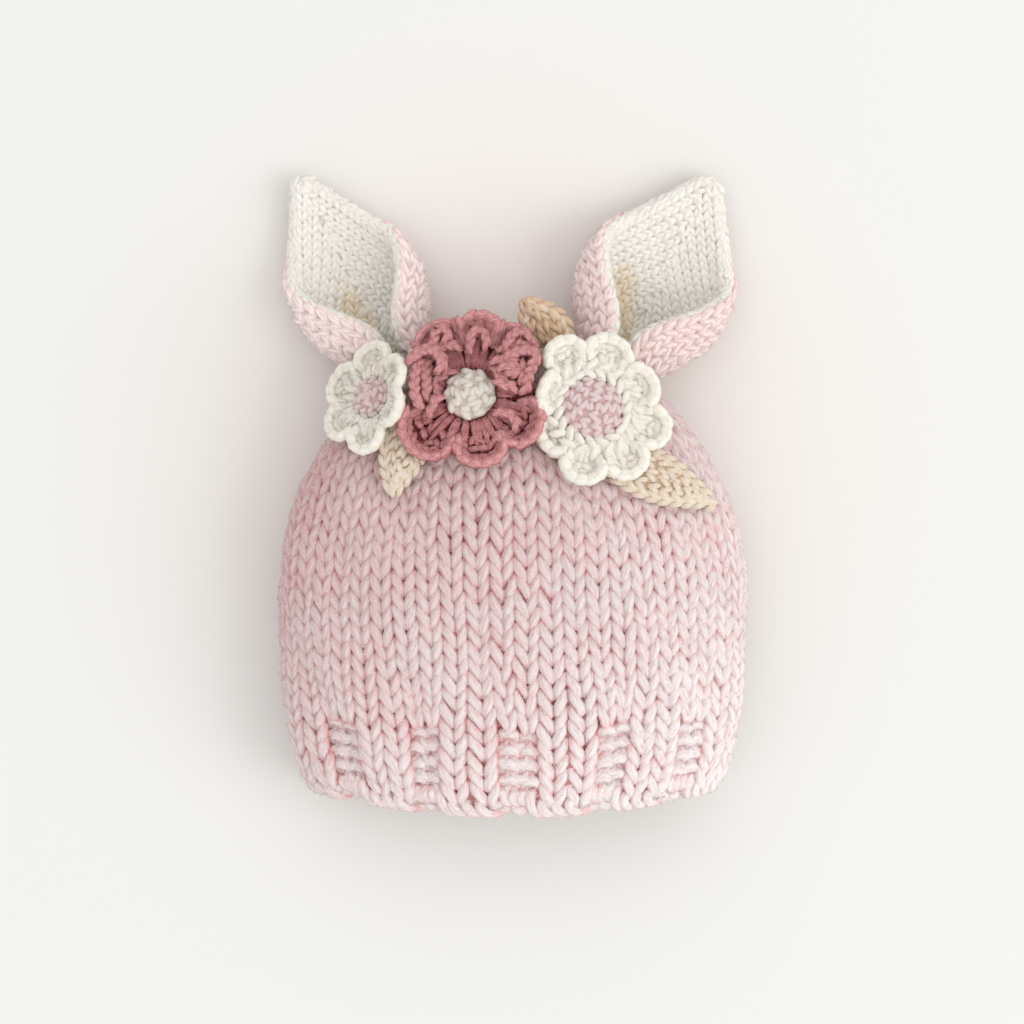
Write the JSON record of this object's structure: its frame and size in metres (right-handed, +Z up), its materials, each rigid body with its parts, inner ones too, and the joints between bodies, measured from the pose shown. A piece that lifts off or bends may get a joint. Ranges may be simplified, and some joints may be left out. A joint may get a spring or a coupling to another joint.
{
  "type": "knitted baby hat with ears",
  "caption": "Chunky knitted baby hat with a ribbed brim, folded lined ears and a band of crocheted flowers and leaves, lying on its back.",
  "frame": {"origin": "point on the flat underside of the cap's back, under the widest place of the cap, on the surface that the hat lies on", "axes": "+Z up from the surface that the hat lies on, through the cap's front; +Y from the brim to the ears; +X to the right as seen from the front"},
  "size_m": [0.1698, 0.2293, 0.0548],
  "materials": {
    "pink_yarn": "matte",
    "cream_yarn": "matte",
    "blush_yarn": "matte",
    "rose_yarn": "matte",
    "beige_yarn": "matte"
  },
  "bodies": {
    "root": {"knit_cap": "pink_yarn", "left_ear_back": "pink_yarn", "left_ear_lining": "cream_yarn", "right_ear_back": "pink_yarn", "right_ear_lining": "cream_yarn", "small_flower_petals": "cream_yarn", "small_flower_centre": "blush_yarn", "rose_flower_petals": "rose_yarn", "rose_flower_centre": "cream_yarn", "large_flower_petals": "cream_yarn", "large_flower_centre": "blush_yarn", "top_leaf": "beige_yarn", "left_leaf": "beige_yarn", "right_leaf": "beige_yarn"}
  },
  "joints": []
}
